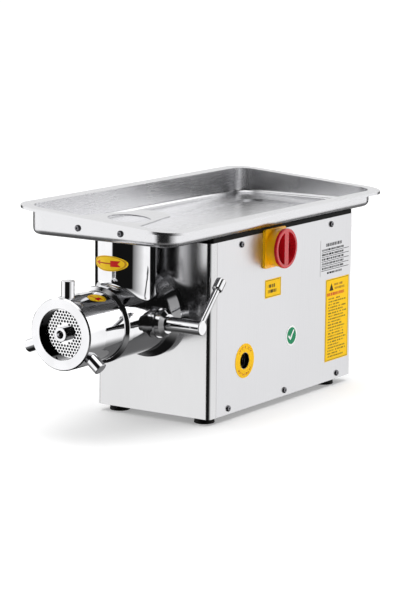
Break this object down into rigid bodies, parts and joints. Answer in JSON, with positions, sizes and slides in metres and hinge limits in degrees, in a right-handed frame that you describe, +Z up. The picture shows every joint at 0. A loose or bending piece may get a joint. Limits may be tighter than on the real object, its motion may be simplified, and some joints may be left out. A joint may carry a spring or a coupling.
{
  "type": "electric meat grinder",
  "caption": "Countertop electric meat grinder: sheet-steel gear and motor cabinet, polished feed column and barrel, ring nut, perforated plate, clamp lever and wide loading tray.",
  "frame": {"origin": "on the supporting surface, under the middle of the whole machine", "axes": "-Y towards the grinding head, +X towards the side with the switch and the clamp lever, +Z up"},
  "size_m": [0.294, 0.703, 0.32],
  "materials": {
    "satin_panel": "fine satin stainless sheet",
    "polished_steel": "mirror-polished stainless casting",
    "tray_steel": "bright satin pressed sheet",
    "black_screw": "black oxide screws",
    "plain_steel": "plain machined steel",
    "cast_case": "grey painted casting",
    "motor_alloy": "die-cast alloy",
    "rubber": "black rubber",
    "yellow_plastic": "yellow moulded plastic",
    "red_plastic": "red moulded plastic",
    "black_plastic": "black moulded plastic",
    "yellow_film": "yellow printed film",
    "silver_film": "silver printed film",
    "green_film": "green printed film",
    "clear": "clear window",
    "bronze": "bearing bronze",
    "copper": "varnished copper coils"
  },
  "bodies": {
    "machine": {"front_shell": "satin_panel", "top_panel": "satin_panel", "base_plate": "satin_panel", "right_side_panel": "satin_panel", "left_side_panel": "satin_panel", "rear_panel": "satin_panel", "panel_screws": "black_screw", "cable_gland": "black_plastic", "feet": "rubber", "foot_screws": "plain_steel", "switch_plate": "yellow_plastic", "switch_collar": "yellow_plastic", "switch_contact_block": "black_plastic", "caution_labels": "yellow_film", "rating_label": "silver_film", "oil_label": "yellow_film", "mark_label": "green_film", "flow_label": "yellow_film", "feed_housing": "polished_steel", "housing_studs": "plain_steel", "tray_seat_strips": "rubber", "gearbox_case": "cast_case", "gearbox_cover": "cast_case", "oil_sight_ring": "plain_steel", "oil_sight_glass": "clear", "shaft_bearings": "plain_steel", "shaft_seal": "rubber", "motor_front_bell": "motor_alloy", "motor_frame": "motor_alloy", "motor_rear_bell": "motor_alloy", "stator": "plain_steel", "stator_windings": "copper", "fan_cowl": "black_plastic", "terminal_box": "black_plastic"},
    "tray_set": {"tray": "tray_steel", "feed_guard": "tray_steel", "guard_screws": "black_screw"},
    "barrel_set": {"barrel": "polished_steel", "barrel_bush": "bronze", "plate_key": "plain_steel"},
    "plate_set": {"hole_plate": "polished_steel"},
    "nut_set": {"ring_nut": "polished_steel", "ring_nut_lugs": "polished_steel"},
    "worm_set": {"auger": "polished_steel", "auger_stud": "polished_steel", "knife": "plain_steel"},
    "pad_set": {"clamp_pad": "bronze"},
    "lever_set": {"clamp_screw": "polished_steel", "lever_arm": "polished_steel", "lever_knob": "polished_steel"},
    "knob_set": {"switch_knob": "red_plastic", "switch_shaft": "plain_steel"},
    "output_set": {"output_shaft": "plain_steel", "output_gear": "plain_steel"},
    "layshaft_set": {"layshaft": "plain_steel", "layshaft_gear": "plain_steel"},
    "rotor_set": {"motor_shaft": "plain_steel", "motor_pinion": "plain_steel", "rotor": "plain_steel", "cooling_fan": "black_plastic"}
  },
  "joints": [
    {"name": "tray_lift", "type": "slide", "parent": "machine", "child": "tray_set", "axis": [0, 0, 1], "range_m": [0, 0.06]},
    {"name": "barrel_slide", "type": "slide", "parent": "machine", "child": "barrel_set", "axis": [0, -1, 0], "range_m": [0, 0.13]},
    {"name": "plate_slide", "type": "slide", "parent": "barrel_set", "child": "plate_set", "axis": [0, -1, 0], "range_m": [0, 0.018]},
    {"name": "ring_nut_turn", "type": "hinge", "parent": "plate_set", "child": "nut_set", "pos_m": [0.0107, -0.3315, 0.159], "axis": [0, -1, 0], "range_deg": [0, 1440]},
    {"name": "auger_spin", "type": "hinge", "parent": "barrel_set", "child": "worm_set", "pos_m": [0.0107, -0.2345, 0.159], "axis": [0, 1, 0], "continuous": true},
    {"name": "pad_slide", "type": "slide", "parent": "machine", "child": "pad_set", "axis": [1, 0, 0], "range_m": [0, 0.0015]},
    {"name": "lever_turn", "type": "hinge", "parent": "pad_set", "child": "lever_set", "pos_m": [0.0787, -0.1945, 0.159], "axis": [1, 0, 0], "range_deg": [0, 270]},
    {"name": "switch_turn", "type": "hinge", "parent": "machine", "child": "knob_set", "pos_m": [0.1287, 0.0365, 0.2445], "axis": [1, 0, 0], "range_deg": [-90, 0]},
    {"name": "motor_spin", "type": "hinge", "parent": "machine", "child": "rotor_set", "pos_m": [0.0107, 0.0905, 0.159], "axis": [0, 1, 0], "continuous": true},
    {"name": "layshaft_spin", "type": "hinge", "parent": "machine", "child": "layshaft_set", "pos_m": [0.0107, -0.0685, 0.087], "axis": [0, 1, 0], "continuous": true},
    {"name": "output_spin", "type": "hinge", "parent": "machine", "child": "output_set", "pos_m": [0.0107, -0.1045, 0.159], "axis": [0, 1, 0], "continuous": true}
  ],
  "couplings": [
    {"joint": "layshaft_spin", "follows": "motor_spin", "ratio": -0.33333},
    {"joint": "output_spin", "follows": "motor_spin", "ratio": 0.12821},
    {"joint": "auger_spin", "follows": "motor_spin", "ratio": 0.12821},
    {"joint": "plate_slide", "follows": "ring_nut_turn", "m_per_rad": 0.0007162},
    {"joint": "pad_slide", "follows": "lever_turn", "m_per_rad": 0.00031831}
  ]
}
